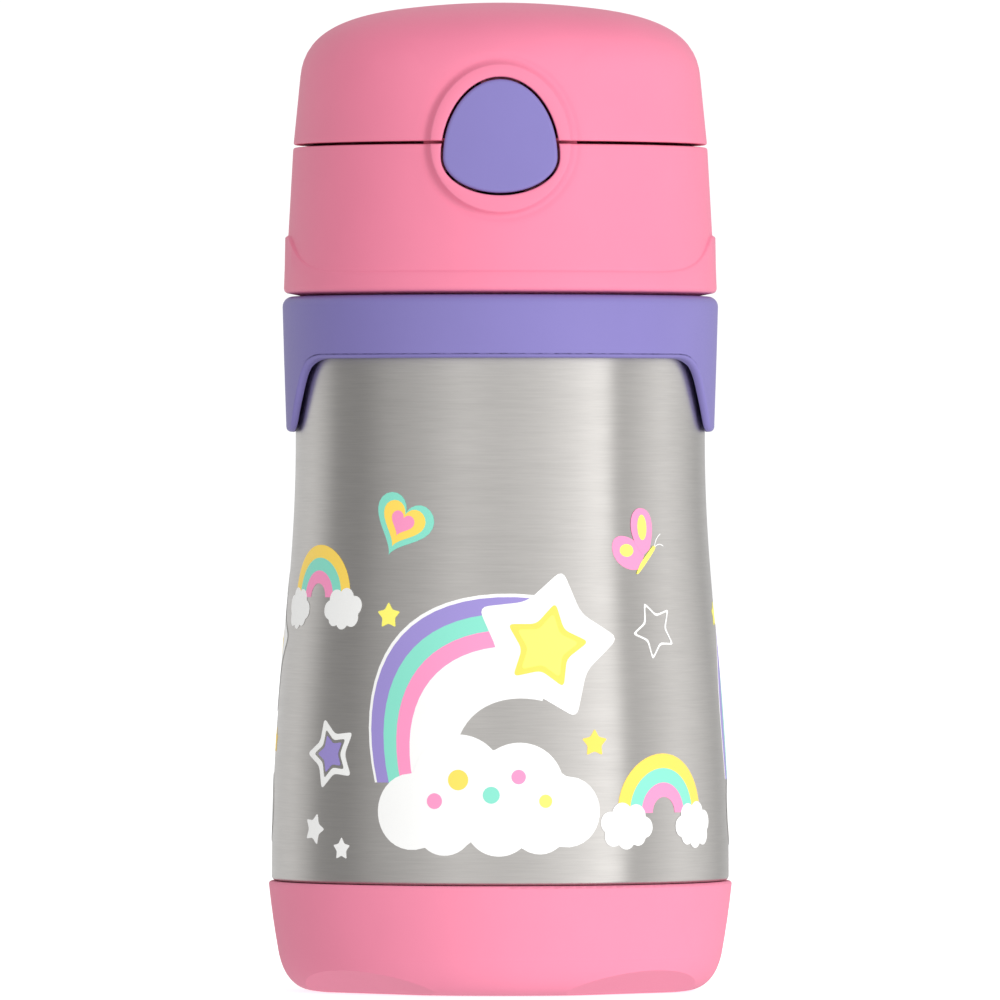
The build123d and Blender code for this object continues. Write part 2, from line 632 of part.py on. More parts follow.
def release_button():
    """The egg-shaped push button, with rails, a spring boss and the hook that holds the cover."""
    front = leaning_face(-(LID_TOP_RADIUS + BEZEL_PROUD + 0.1))
    plate = egg_prism(button_opening(0), FRONT, BUTTON_BACK) & front
    plate = fillet(plate.faces().sort_by(Axis.Y)[0].outer_wire().edges(), BUTTON_EDGE)
    root = BUTTON_BACK - BUTTON_WEB
    for side in (-1, 1):
        x0, x1 = sorted((side * (BUTTON_RAIL_OUTER - 1.6), side * BUTTON_RAIL_OUTER))
        plate += block(x0, x1, root, -24.0, 136.2, 138.6)
    boss = Cylinder(3.0, BUTTON_SPRING_FRONT - root)
    plate += Pos(0, (root + BUTTON_SPRING_FRONT) / 2, BUTTON_SPRING_Z) * Rot(90, 0, 0) * boss
    plate += Pos(0, BUTTON_SPRING_FRONT + 0.8, BUTTON_SPRING_Z) * Rot(90, 0, 0) * Cylinder(1.5, 1.8)
    # the hook reaches under the cover, then turns up and out over the cover's foot
    arm_in, arm_out = 3.6, 5.4
    low, high = 140.9, 146.4
    for side in (-1, 1):
        x0, x1 = sorted((side * arm_in, side * arm_out))
        plate += block(x0, x1, root, HOOK_BACK, low, low + 1.2)
        plate += block(x0, x1, HOOK_BACK - 1.4, HOOK_BACK, low, high)
    return plate + block(-arm_out, arm_out, -HOOK_NOSE, HOOK_BACK, high - 1.3, high)


CATCH_FOOT = 28.3
HOOK_NOSE = CATCH_FOOT - 0.35
HOOK_BACK = -24.2


# ---- cover ------------------------------------------------------------------------------------
def cover_outline(inset):
    """The dome's outside, or the same line moved in by inset, closed down to the seam."""
    low, top = SEAM + SEAM_GAP / 2, TOTAL_HEIGHT - inset
    foot = COVER_EDGE_RADIUS - inset
    wall = foot - COVER_DRAFT * (COVER_WALL_TOP - SEAM)
    crown = (CROWN_START_RADIUS, CROWN_START - inset)
    turn_pulls = (wall - 0.64, 159.2 - 0.6 * inset), (27.6 - 0.7 * inset, 162.6 - inset)
    return [
        Line((foot, low), (wall, COVER_WALL_TOP)),
        Bezier((wall, COVER_WALL_TOP), *turn_pulls, crown),
        Bezier(crown, (CROWN_START_RADIUS / 2, top), (0, top)),
        Line((0, top), (0, low)),
        Line((0, low), (foot, low)),
    ]


def flip_cover():
    """The domed cover, with the upper half of the button's surround and the hinge barrel."""
    low = SEAM + SEAM_GAP / 2
    cover = revolved(*cover_outline(0)) + bezel_boss(low, BEZEL_TOP + 1)
    cover -= revolved(*cover_outline(COVER_WALL))
    cover -= egg_prism(button_opening(BUTTON_GAP), FRONT, -30.5)
    # hinge: a barrel joined to the rear wall, hollow where the spring lies
    cover += hinge_arm(-COVER_KNUCKLE_HALF, COVER_KNUCKLE_HALF, 32.85, 150.0, 0.8)
    for side in (-1, 1):
        x0, x1 = sorted((side * COVER_KNUCKLE_HALF, side * (EAR_OUTER + 0.3)))
        cover -= rod_x(KNUCKLE_RADIUS + KNUCKLE_GAP, x0, x1, HINGE_Y, SEAM)
    cover -= rod_x(PIN_RADIUS + 0.06, -20, 20, HINGE_Y, SEAM)
    chamber = SPRING_WINDOW_HALF - 0.6
    cover -= rod_x(2.15, -chamber, chamber, HINGE_Y, SEAM)
    return cover - block(-chamber, chamber, 29.0, HINGE_Y, SEAM - 2.1, SEAM + 2.1)


LINER_GAP = 0.15
COVER_LINER_WALL = 1.2


def cover_liner():
    """The cover's smooth inside, with the foot that the button holds and ribs that pinch the spout."""
    start = COVER_WALL + LINER_GAP
    shell = revolved(*cover_outline(start)) - revolved(*cover_outline(start + COVER_LINER_WALL))
    shell &= block(-60, 60, -60, 60, SEAM + 4.2, 200)
    shell -= egg_prism(button_opening(1.6), FRONT, -27.0)
    inside = revolved(*cover_outline(start + 0.3))
    # latch foot, hanging behind the button from a tongue
    half, front, low = 3.2, -30.4, 143.6
    shell += block(-half, half, front, front + 1.2, low, 156.0) & inside
    shell += block(-half, half, front, -CATCH_FOOT, low, low + 1.2)
    # two ribs and a crossbar that close the folded spout, cut to lie just above it
    spout_space = fold_plane(0).location * Pos(0, SPOUT_RADIUS + 0.6 - 30, 0) * Box(60, 60, 90)
    rib_x, rib_half, low, high = 3.0, 0.8, 142.0, 170.0
    for x in (-rib_x, rib_x):
        shell += (block(x - rib_half, x + rib_half, -8.0, 6.0, low, high) - spout_space) & inside
    return shell + ((block(-rib_x, rib_x, -1.0, 0.6, low, high) - spout_space) & inside)


PARTS = {
    "outer_shell": outer_shell,
    "inner_liner": inner_liner,
    "shell_base_plate": shell_base_plate,
    "evacuation_seal": evacuation_seal,
    "vacuum_getter": vacuum_getter,
    "base_boot": base_boot,
    "grip_collar": grip_collar,
    "lid_shell": lid_shell,
    "lid_deck": lid_deck,
    "lid_core": lid_core,
    "lid_gasket": lid_gasket,
    "mouthpiece_base": mouthpiece_base,
    "mouthpiece_neck": mouthpiece_neck,
    "mouthpiece_spout": mouthpiece_spout,
    "straw": straw,
    "vent_valve": vent_valve,
    "hinge_pin": hinge_pin,
    "cover_spring": cover_spring,
    "button_spring": button_spring,
    "release_button": release_button,
    "flip_cover": flip_cover,
    "cover_liner": cover_liner,
}

os.makedirs("parts", exist_ok=True)
for name, make in PARTS.items():
    shape = make()
    export_step(shape, f"parts/{name}.step")
    print(name, len(shape.solids()), round(shape.volume, 1))
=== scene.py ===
"""The looks of a kids water bottle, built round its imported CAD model.

Shapes are worked out in millimetres and made metres when a piece is finished.
"""
import math

import bmesh
import bpy
import numpy as np
from mathutils import Matrix, Vector

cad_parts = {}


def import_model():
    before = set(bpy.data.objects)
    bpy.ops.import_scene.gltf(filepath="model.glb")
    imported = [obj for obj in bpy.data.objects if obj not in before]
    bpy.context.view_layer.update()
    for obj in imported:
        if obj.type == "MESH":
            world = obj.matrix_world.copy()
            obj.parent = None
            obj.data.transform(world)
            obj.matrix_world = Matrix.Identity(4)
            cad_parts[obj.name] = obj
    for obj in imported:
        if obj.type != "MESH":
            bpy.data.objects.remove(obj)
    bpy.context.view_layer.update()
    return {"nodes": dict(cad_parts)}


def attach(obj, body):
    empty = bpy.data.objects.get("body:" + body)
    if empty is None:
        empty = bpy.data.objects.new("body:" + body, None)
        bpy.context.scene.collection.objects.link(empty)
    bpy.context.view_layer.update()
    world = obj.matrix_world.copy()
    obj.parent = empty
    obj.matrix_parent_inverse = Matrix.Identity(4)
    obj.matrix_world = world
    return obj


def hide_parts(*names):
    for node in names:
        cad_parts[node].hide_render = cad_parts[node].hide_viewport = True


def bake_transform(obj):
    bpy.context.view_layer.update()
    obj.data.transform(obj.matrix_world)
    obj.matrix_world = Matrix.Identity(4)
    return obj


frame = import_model()
nodes = frame["nodes"]
MM = 0.001
TURN = 2 * math.pi


# ---- outlines ---------------------------------------------------------------------------------
def bezier(a, b, c, d, steps=12):
    """Points along a curve from a to d, pulled towards b and c."""
    points = []
    for i in range(steps + 1):
        t = i / steps
        s = 1 - t
        weights = (s * s * s, 3 * s * s * t, 3 * s * t * t, t * t * t)
        points.append(tuple(sum(w * p[k] for w, p in zip(weights, (a, b, c, d))) for k in (0, 1)))
    return points


def arc(centre, radius, start, end, steps=6):
    """Points on a circle from one angle to another, in degrees."""
    angles = [math.radians(start + (end - start) * i / steps) for i in range(steps + 1)]
    return [(centre[0] + radius * math.cos(a), centre[1] + radius * math.sin(a)) for a in angles]


def smooth_step(value, start, end):
    t = min(max((value - start) / (end - start), 0.0), 1.0)
    return t * t * (3 - 2 * t)


def rounding(distance, radius):
    """How far a rounded edge has dropped, at a distance in from the edge."""
    if distance >= radius:
        return 0.0
    return radius - math.sqrt(max(radius * radius - (radius - distance) ** 2, 0.0))


# ---- mesh helpers -----------------------------------------------------------------------------
def lathe(points, steps, closed=True):
    """The outline's points (radius, height) turned right round the bottle's axis."""
    bm = bmesh.new()
    verts = [bm.verts.new((r, 0, z)) for r, z in points]
    pairs = list(zip(verts, verts[1:]))
    if closed:
        pairs.append((verts[-1], verts[0]))
    edges = [bm.edges.new(pair) for pair in pairs]
    bmesh.ops.spin(bm, geom=verts + edges, cent=(0, 0, 0), axis=(0, 0, 1), dvec=(0, 0, 0), angle=TURN,
                   steps=steps, use_merge=True, use_normal_flip=False, use_duplicate=False)
    bmesh.ops.remove_doubles(bm, verts=bm.verts, dist=1e-4)
    bmesh.ops.recalc_face_normals(bm, faces=bm.faces)
    return bm


def grid(columns, rows):
    """A flat sheet of faces whose lines lie at the given columns (X) and rows (Y)."""
    bm = bmesh.new()
    bmesh.ops.create_grid(bm, x_segments=len(columns) - 1, y_segments=len(rows) - 1, size=1)
    for vert in bm.verts:
        i = round((vert.co.x + 1) / 2 * (len(columns) - 1))
        j = round((vert.co.y + 1) / 2 * (len(rows) - 1))
        vert.co = (columns[i], rows[j], 0)
    return bm


def cut(bm, point, normal, clear=False):
    """Cuts the whole mesh along a plane; clear removes the side that the normal points to."""
    everything = bm.verts[:] + bm.edges[:] + bm.faces[:]
    bmesh.ops.bisect_plane(bm, geom=everything, dist=1e-5, plane_co=point, plane_no=normal,
                           clear_outer=clear)


def piece(bm, name, material, body=None, replaced=(), sharp=38):
    """Makes the finished mesh, worked out in millimetres, an object of the scene."""
    bmesh.ops.scale(bm, vec=(MM, MM, MM), verts=bm.verts)
    for face in bm.faces:
        face.smooth = True
    mesh = bpy.data.meshes.new(name)
    bm.to_mesh(mesh)
    bm.free()
    mesh.set_sharp_from_angle(angle=math.radians(sharp))
    for each in material if isinstance(material, (list, tuple)) else [material]:
        mesh.materials.append(each)
    obj = bpy.data.objects.new(name, mesh)
    bpy.context.scene.collection.objects.link(obj)
    if body:
        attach(obj, body)
    if replaced:
        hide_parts(*replaced)
    return obj


# ---- materials --------------------------------------------------------------------------------
class Finish:
    """A material and short ways to add nodes to it."""

    def __init__(self, name, **values):
        self.material = bpy.data.materials.new(name)
        self.material.use_nodes = True
        self.tree = self.material.node_tree
        self.shader = self.tree.nodes["Principled BSDF"]
        for socket, value in values.items():
            self.shader.inputs[socket.replace("_", " ")].default_value = value
        self.place = self.add("ShaderNodeTexCoord").outputs["Object"]

    def add(self, kind, **properties):
        node = self.tree.nodes.new(kind)
        for key, value in properties.items():
            setattr(node, key, value)
        return node

    def link(self, source, target):
        self.tree.links.new(source, target)

    def noise(self, stretch, detail=3.0, roughness=0.55):
        """Noise with its own density along X, Y and Z, per metre."""
        mapping = self.add("ShaderNodeMapping")
        mapping.inputs["Scale"].default_value = stretch
        self.link(self.place, mapping.inputs["Vector"])
        texture = self.add("ShaderNodeTexNoise")
        texture.inputs["Scale"].default_value = 1.0
        texture.inputs["Detail"].default_value = detail
        texture.inputs["Roughness"].default_value = roughness
        self.link(mapping.outputs["Vector"], texture.inputs["Vector"])
        return texture.outputs["Fac"]

    def spread(self, value, low, high):
        """Turns noise into a range that a socket can use."""
        node = self.add("ShaderNodeMapRange")
        node.inputs["From Min"].default_value = 0.3
        node.inputs["From Max"].default_value = 0.7
        node.inputs["To Min"].default_value = low
        node.inputs["To Max"].default_value = high
        self.link(value, node.inputs["Value"])
        return node.outputs["Result"]

    def tint(self, value, dark, light):
        """A colour between two, following noise."""
        node = self.add("ShaderNodeMix", data_type="RGBA")
        self.link(self.spread(value, 0.0, 1.0), node.inputs["Factor"])
        for socket in node.inputs:
            if socket.type == "RGBA":
                socket.default_value = (*(dark if socket.name == "A" else light), 1)
        colour = [out for out in node.outputs if out.type == "RGBA"][0]
        self.link(colour, self.shader.inputs["Base Color"])

    def rough(self, value, low, high):
        self.link(self.spread(value, low, high), self.shader.inputs["Roughness"])

    def bump(self, value, height):
        """Relief of the surface, height in millimetres."""
        node = self.add("ShaderNodeBump")
        node.inputs["Strength"].default_value = 1.0
        node.inputs["Distance"].default_value = height * MM
        self.link(value, node.inputs["Height"])
        self.link(node.outputs["Normal"], self.shader.inputs["Normal"])


def shades(colour, change):
    """A slightly darker and a slightly lighter version of a colour."""
    return [tuple(min(c * (1 + k), 1) for c in colour) for k in (-change, change)]


def moulded(name, colour, roughness, grain=0.004, density=3500, change=0.02, **values):
    """Moulded plastic or rubber with a fine matte grain."""
    finish = Finish(name, **values)
    fine = finish.noise((density, density, density), detail=2.0)
    broad = finish.noise((60, 60, 60))
    finish.tint(broad, *shades(colour, change))
    finish.rough(fine, roughness - 0.05, roughness + 0.05)
    finish.bump(fine, grain)
    return finish.material


def brushed(name, colour, roughness, anisotropy):
    """Steel brushed round the axis, so its lights stretch up and down."""
    finish = Finish(name, Metallic=1.0, Anisotropic=anisotropy, Anisotropic_Rotation=0.25)
    lines = finish.noise((130, 130, 3600), detail=5.0, roughness=0.7)
    patches = finish.noise((40, 40, 500))
    finish.tint(lines, *shades(colour, 0.06))
    finish.rough(patches, roughness - 0.02, roughness + 0.03)
    finish.bump(lines, 0.0012)
    return finish.material


def ink_with_painted_glow(name, colour):
    """Print ink with a painted glow: a slight emission in the ink's own colour, painted light that keeps
    the prints bright on the shaded side.
    """
    return moulded(name, colour, 0.45, grain=0.002, density=2500, change=0.015,
                   # the emission is painted light: the ink glows slightly although it is no lamp
                   Emission_Color=(*colour, 1), Emission_Strength=0.16)


PINK = (0.9, 0.235, 0.37)
PINK_RUBBER = (0.92, 0.26, 0.4)
PURPLE = (0.225, 0.19, 0.5)
steel = brushed("brushed_steel", (0.6, 0.58, 0.56), 0.33, 0.8)
liner_steel = brushed("liner_steel", (0.6, 0.6, 0.59), 0.38, 0.5)
pink_plastic = moulded("pink_plastic", PINK, 0.48)
pink_rubber = moulded("pink_rubber", PINK_RUBBER, 0.6, grain=0.006)
purple_plastic = moulded("purple_plastic", PURPLE, 0.48)
white_plastic = moulded("white_plastic", (0.8, 0.8, 0.78), 0.4)
silicone = moulded("silicone", (0.8, 0.8, 0.79), 0.42, grain=0.002,
                   Subsurface_Weight=0.25, Subsurface_Scale=0.003)
straw_plastic = moulded("straw_plastic", (0.8, 0.83, 0.85), 0.25, grain=0.001)
spring_steel = moulded("spring_steel", (0.56, 0.56, 0.57), 0.25, grain=0.001, Metallic=1.0)
seal_glass = moulded("seal_glass", (0.22, 0.25, 0.22), 0.15, grain=0.001)
getter_metal = moulded("getter_metal", (0.15, 0.15, 0.16), 0.7, grain=0.01, Metallic=0.6)
# Print colours, each ink with a slight painted glow (emission) that stands in for light on the shaded side
painted_glow_inks = {
    "white": ink_with_painted_glow("ink_white_painted_glow", (0.85, 0.85, 0.84)),
    "mint": ink_with_painted_glow("ink_mint_painted_glow", (0.22, 0.68, 0.54)),
    "yellow": ink_with_painted_glow("ink_yellow_painted_glow", (0.95, 0.66, 0.1)),
    "lemon": ink_with_painted_glow("ink_lemon_painted_glow", (0.93, 0.86, 0.15)),
    "pink": ink_with_painted_glow("ink_pink_painted_glow", (0.88, 0.28, 0.5)),
    "purple": ink_with_painted_glow("ink_purple_painted_glow", (0.3, 0.24, 0.58)),
}
cad_finishes = {
    "base_boot": pink_rubber,
    "release_button": purple_plastic,
    "inner_liner": liner_steel,
    "shell_base_plate": liner_steel,
    "evacuation_seal": seal_glass,
    "vacuum_getter": getter_metal,
    "lid_core": white_plastic,
    "lid_deck": pink_plastic,
    "lid_gasket": silicone,
    "straw": straw_plastic,
    "vent_valve": silicone,
    "cover_liner": pink_plastic,
    "hinge_pin": spring_steel,
    "cover_spring": spring_steel,
    "button_spring": spring_steel,
}


def dress(node, material):
    """Gives a CAD node that stays visible its own finish."""
    obj = nodes[node]
    if not obj.material_slots:
        obj.data.materials.append(material)
    for each in obj.material_slots:
        each.material = material


for node, material in cad_finishes.items():
    dress(node, material)


# ---- steel body -------------------------------------------------------------------------------
SHELL_WALL = 0.5
SEAT_RADIUS = 35.7           # steel inside the boot
SEAT_LOW = 6.0
FOOT_RADIUS = 38.2           # steel just above the boot
FLARE_START = 19.1
STEP_TURN = 1.8              # bend where the steel steps in under the boot's rim
WAIST_RADIUS = 34.2
SHOULDER_START = 107.5
SHOULDER_TURN = 3.2
NECK_RADIUS = 29.5
NECK_TOP = 128.7
THREAD_START = 119.0
THREAD_TURNS = 1.5
THREAD_LEAD = 4.0
THREAD_SECTION = ((29.4, -0.95), (30.9, -0.4), (30.9, 0.4), (29.4, 0.95))
FLARE = bezier((FOOT_RADIUS, FLARE_START), (FOOT_RADIUS, 52), (WAIST_RADIUS, 66), (WAIST_RADIUS, 92), 36)


def shell_outline():
    """The outer steel line from its foot to the mouth."""
    swell = FOOT_RADIUS - SEAT_RADIUS - STEP_TURN
    bend = SEAT_RADIUS + STEP_TURN
    bend_low = FLARE_START - swell - STEP_TURN
    shoulder = WAIST_RADIUS - SHOULDER_TURN
    throat = shoulder - NECK_RADIUS
    throat_top = SHOULDER_START + SHOULDER_TURN + throat
    return (
        [(SEAT_RADIUS, SEAT_LOW), (SEAT_RADIUS, bend_low)]
        + arc((bend, bend_low), STEP_TURN, 180, 90)[1:]
        + arc((bend, FLARE_START), swell, -90, 0)[1:]
        + FLARE[1:]
        + arc((shoulder, SHOULDER_START), SHOULDER_TURN, 0, 90, 8)
        + arc((shoulder, throat_top), throat, -90, -180)[1:]
        + [(NECK_RADIUS, throat_top + 3.3), (NECK_RADIUS, NECK_TOP)]
    )


def steel_body():
    bm = lathe(shell_outline(), 256, closed=False)
    bmesh.ops.solidify(bm, geom=bm.faces[:], thickness=SHELL_WALL)
    bmesh.ops.recalc_face_normals(bm, faces=bm.faces)
    # one ridge of screw thread, a right-hand helix
    verts = [bm.verts.new((r, 0, THREAD_START + z)) for r, z in THREAD_SECTION]
    edges = [bm.edges.new(pair) for pair in zip(verts, verts[1:] + verts[:1])]
    start_cap = bm.faces.new(verts)
    steps = 96
    bmesh.ops.spin(bm, geom=verts + edges + [start_cap], cent=(0, 0, 0), axis=(0, 0, 1),
                   dvec=(0, 0, THREAD_LEAD * THREAD_TURNS / steps), angle=TURN * THREAD_TURNS,
                   steps=steps, use_merge=False, use_normal_flip=False, use_duplicate=False)
    bmesh.ops.recalc_face_normals(bm, faces=bm.faces)
    return piece(bm, "steel_body", steel, "flask", ["outer_shell"], sharp=50)


steel_body()


def flask_radius(height):
    """The steel's radius at a height between the boot and the collar."""
    return float(np.interp(height, [z for _, z in FLARE], [r for r, _ in FLARE]))


# ---- grip collar ------------------------------------------------------------------------------
COLLAR_LOW = 105.4
COLLAR_TOP = 115.9
COLLAR_RADIUS = 36.4
COLLAR_INNER = 34.3
COLLAR_HOLE = 31.2
TAB_TIP = 93.3
TAB_INNER = 34.7
TAB_ROOT = 107.6             # height where the wall starts to follow the tabs' edge
TAB_EDGE = (
    [(0.0, TAB_TIP)]
    + bezier((5.5, TAB_TIP), (8.0, TAB_TIP), (9.2, 95.4), (9.9, 96.4), 8)
    + bezier((12.0, 99.3), (13.9, 102.3), (15.8, COLLAR_LOW), (20.8, COLLAR_LOW), 24)
    + [(40.0, COLLAR_LOW)]
)


def grip_collar():
    """A ring whose lower edge drops to a rounded tab on each side."""
    tab_y = [y for y, _ in TAB_EDGE]
    tab_z = [z for _, z in TAB_EDGE]
    edge, foot = 1.7, 0.8
    ceiling = COLLAR_TOP - 2

    def side(height):
        levels, radii = [TAB_TIP, COLLAR_LOW, COLLAR_TOP - edge], [35.75, 36.15, COLLAR_RADIUS]
        return float(np.interp(height, levels, radii))

    # rows of the closed section: a radius or the name of a surface, a height, and the share of the
    # tabs' drop that the row follows
    rows = [(COLLAR_HOLE, ceiling, 0), (COLLAR_HOLE, COLLAR_TOP, 0)]
    rows += [(r, z, 0) for r, z in arc((COLLAR_RADIUS - edge, COLLAR_TOP - edge), edge, 90, 0, 8)]
    rows += [("side", 111.0, 0), ("side", TAB_ROOT, 0)]
    rows += [("side", TAB_ROOT - 1.8 * share, share) for share in (0.25, 0.5, 0.75, 0.9)]
    rows += [("foot", COLLAR_LOW + rise * foot, 1) for rise in (1.0, 0.6, 0.35, 0.15, 0.04, 0.0)]
    rows += [("hem", COLLAR_LOW, 1), ("inside", COLLAR_LOW + 0.15, 1), ("inside", COLLAR_LOW + 0.6, 1)]
    rows += [(COLLAR_INNER, TAB_ROOT, 0), (COLLAR_INNER, ceiling, 0)]
    columns = [i * TURN / 360 for i in range(361)]
    bm = grid(columns, list(range(len(rows))) + [len(rows)])
    for vert in bm.verts:
        angle, index = vert.co.x, int(round(vert.co.y)) % len(rows)
        across = abs(math.cos(angle)) * COLLAR_RADIUS
        low = float(np.interp(across, tab_y, tab_z))
        kind, nominal, follow = rows[index]
        height = nominal + follow * (low - COLLAR_LOW)
        hem = COLLAR_INNER + (TAB_INNER - COLLAR_INNER) * smooth_step(COLLAR_LOW - low, 0, 1.5)
        if kind == "side":
            radius = side(height)
        elif kind == "foot":
            radius = side(height) - rounding(nominal - COLLAR_LOW, foot)
        elif kind == "hem":
            radius = hem + 0.15
        elif kind == "inside":
            radius = hem
        else:
            radius = kind
        vert.co = (radius * math.sin(angle), -radius * math.cos(angle), height)
    bmesh.ops.remove_doubles(bm, verts=bm.verts, dist=1e-4)
    bmesh.ops.recalc_face_normals(bm, faces=bm.faces)
    return piece(bm, "grip_collar_skin", purple_plastic, "flask", ["grip_collar"])


grip_collar()


# ---- lid and cover skins ----------------------------------------------------------------------
SEAM = 141.0
SEAM_GAP = 0.5
LID_LOW = 116.4
LID_INNER = 33.2
LID_TOP_RADIUS = 34.6
LID_DRAFT = 0.056
BAND_RADIUS = 36.05
BAND_LOW = 119.8             # top of the raised band at the front and back
BAND_EDGE = (
    [(0.0, 126.1)]
    + bezier((5.5, 126.1), (9.5, 126.1), (11.5, 119.9), (25.0, BAND_LOW), 30)
    + [(40.0, BAND_LOW)]
)
WINDOW = 16.0                # half width of the part that carries the button's surround
WINDOW_LOW = 126.7
WINDOW_TOP = 158.0
SHEET_END = 106.0            # the sheet's half length; its two ends meet at the back
FACE_RADIUS = 60.0
FACE_Y = -35.2               # front of the surround, at the seam
FACE_LEAN = 0.075
EDGE = 0.35                  # rounding of the seam's and the opening's edges
VALLEY_START = -0.3          # the surround's edge starts to fall this far inside its outline
VALLEY_MIDDLE = 0.3
FACE_END = 1.3               # the face has run into the wall this far outside it
VALLEY_END = 1.9
VALLEY_DEPTH = 0.35
SURROUND_RINGS = (1.9, 1.5, 1.2, 0.95, 0.75, 0.6, 0.45, 0.3, 0.18, 0.06, -0.06, -0.18, -0.3)
BOSS_BACK = -30.4            # how far in the walls of the button's opening reach
BOSS_WALL = 0.75
COVER_WALL = 1.8


def egg_line(half_width, top, bottom, widest, point):
    """How far an egg outline lies from the middle of the surround, in any direction."""
    share = 0.5523
    up, down = top - widest, widest - bottom
    side = (half_width, widest)
    right = bezier((0, bottom), (share * half_width, bottom), (half_width, widest - share * down), side, 60)
    right += bezier(side, (half_width, widest + 0.55 * up), (point * half_width, top), (0, top), 60)
    angles = [math.atan2(z - SEAM, x) for x, z in right]
    reach = [math.hypot(x, z - SEAM) for x, z in right]
    return lambda x, z: float(np.interp(math.atan2(z - SEAM, abs(x)), angles, reach))


OPENING_GAP = 0.4
surround = egg_line(11.7, 154.0, 129.3, 140.5, 0.56)
opening = egg_line(9.45 + OPENING_GAP, 151.4 + OPENING_GAP, 132.6 - OPENING_GAP, 138.5, 0.55)


def lid_wall(height):
    """The lid wall's radius, which grows towards its foot."""
    return LID_TOP_RADIUS + LID_DRAFT * (SEAM - height)


def cover_outline(inset):
    """The dome's line from the seam to its top, moved in by inset, as (radius, height)."""
    wall, foot = (33.42 - inset, 152.8), LID_TOP_RADIUS - inset
    crown, top = (16.1, 164.0 - inset), 165.0 - inset
    return (
        [(foot, SEAM - 20), (foot, SEAM), wall]
        + bezier(wall, (wall[0] - 0.64, 159.2 - 0.6 * inset), (27.6 - 0.7 * inset, 162.6 - inset),
                 crown, 40)[1:]
        + bezier(crown, (10.7, 164.667 - inset), (5.33, top), (0, top), 16)[1:]
    )


COVER_OUT = cover_outline(0)
COVER_IN = cover_outline(COVER_WALL)
COVER_HEIGHTS = [z for _, z in COVER_OUT]


def face_depth(x, z):
    """Y of the surround's face, part of a large leaning cylinder."""
    return FACE_Y + FACE_RADIUS - math.sqrt(FACE_RADIUS**2 - x * x) + FACE_LEAN * (z - SEAM)


def surround_share(x, z):
    """1 on the surround's face, 0 on the wall and a curve between, and the valley's depth there."""
    beyond = math.hypot(x, z - SEAM) - surround(x, z)
    t = min(max((beyond - VALLEY_START) / (FACE_END - VALLEY_START), 0.0), 1.0)
    falling = smooth_step(beyond, VALLEY_START, VALLEY_MIDDLE)
    rising = smooth_step(beyond, VALLEY_MIDDLE, VALLEY_END)
    return (1 - t) ** 3 * (1 + 3 * t), VALLEY_DEPTH * falling * (1 - rising)


def spaced(start, end, count):
    return [start + (end - start) * i / count for i in range(count + 1)]


def surround_sheet(low_rows, high_rows):
    """A flat sheet for the lid or the cover, with rings of faces round the button's opening."""
    side = spaced(WINDOW, SHEET_END, 56)
    columns = [-x for x in side[::-1]] + spaced(-WINDOW, WINDOW, 26)[1:] + side[1:]
    rows = low_rows + spaced(WINDOW_LOW, WINDOW_TOP, 24) + high_rows
    bm = grid(columns, rows)
    window = [f for f in bm.faces if abs(f.calc_center_median().x) < WINDOW
              and WINDOW_LOW < f.calc_center_median().y < WINDOW_TOP]
    bmesh.ops.delete(bm, geom=window, context="FACES")

    def inside(vert):
        return abs(vert.co.x) < WINDOW + 0.01 and WINDOW_LOW - 0.01 < vert.co.y < WINDOW_TOP + 0.01

    loop = [e for e in bm.edges if e.is_boundary and inside(e.verts[0]) and inside(e.verts[1])]
    rings = [("frame", share) for share in (0.35, 0.7)]
    rings += [("surround", d) for d in SURROUND_RINGS]
    rings += [("opening", d) for d in (0.7, EDGE, 0.2, 0.1, 0.03, 0.0)]
    for kind, value in rings:
        grown = bmesh.ops.extrude_edge_only(bm, edges=loop)["geom"]
        fresh = {g for g in grown if isinstance(g, bmesh.types.BMVert)}
        for vert in fresh:
            x, z = vert.co.x, vert.co.y
            here = math.hypot(x, z - SEAM)
            if kind == "frame":
                target = here + (surround(x, z) + VALLEY_END + 0.3 - here) * value
            elif kind == "surround":
                target = surround(x, z) + value
            else:
                target = opening(x, z) + value
            vert.co.x = x * target / here
            vert.co.y = SEAM + (z - SEAM) * target / here
        loop = [e for e in bm.edges if e.is_boundary and e.verts[0] in fresh and e.verts[1] in fresh]
    return bm


def sheet_angle(u, radius):
    """The angle round the bottle, from the front, of a place along the sheet."""
    window_angle = math.asin(WINDOW / radius)
    if abs(u) <= WINDOW:
        return math.asin(u / radius)
    share = (abs(u) - WINDOW) / (SHEET_END - WINDOW)
    return math.copysign(window_angle + (math.pi - window_angle) * share, u)


def back_place(x, radius):
    """Where along the sheet a point lies that is x to one side of the middle of the back."""
    window_angle = math.asin(WINDOW / radius)
    share = (math.pi - math.asin(x / radius) - window_angle) / (math.pi - window_angle)
    return WINDOW + (SHEET_END - WINDOW) * share


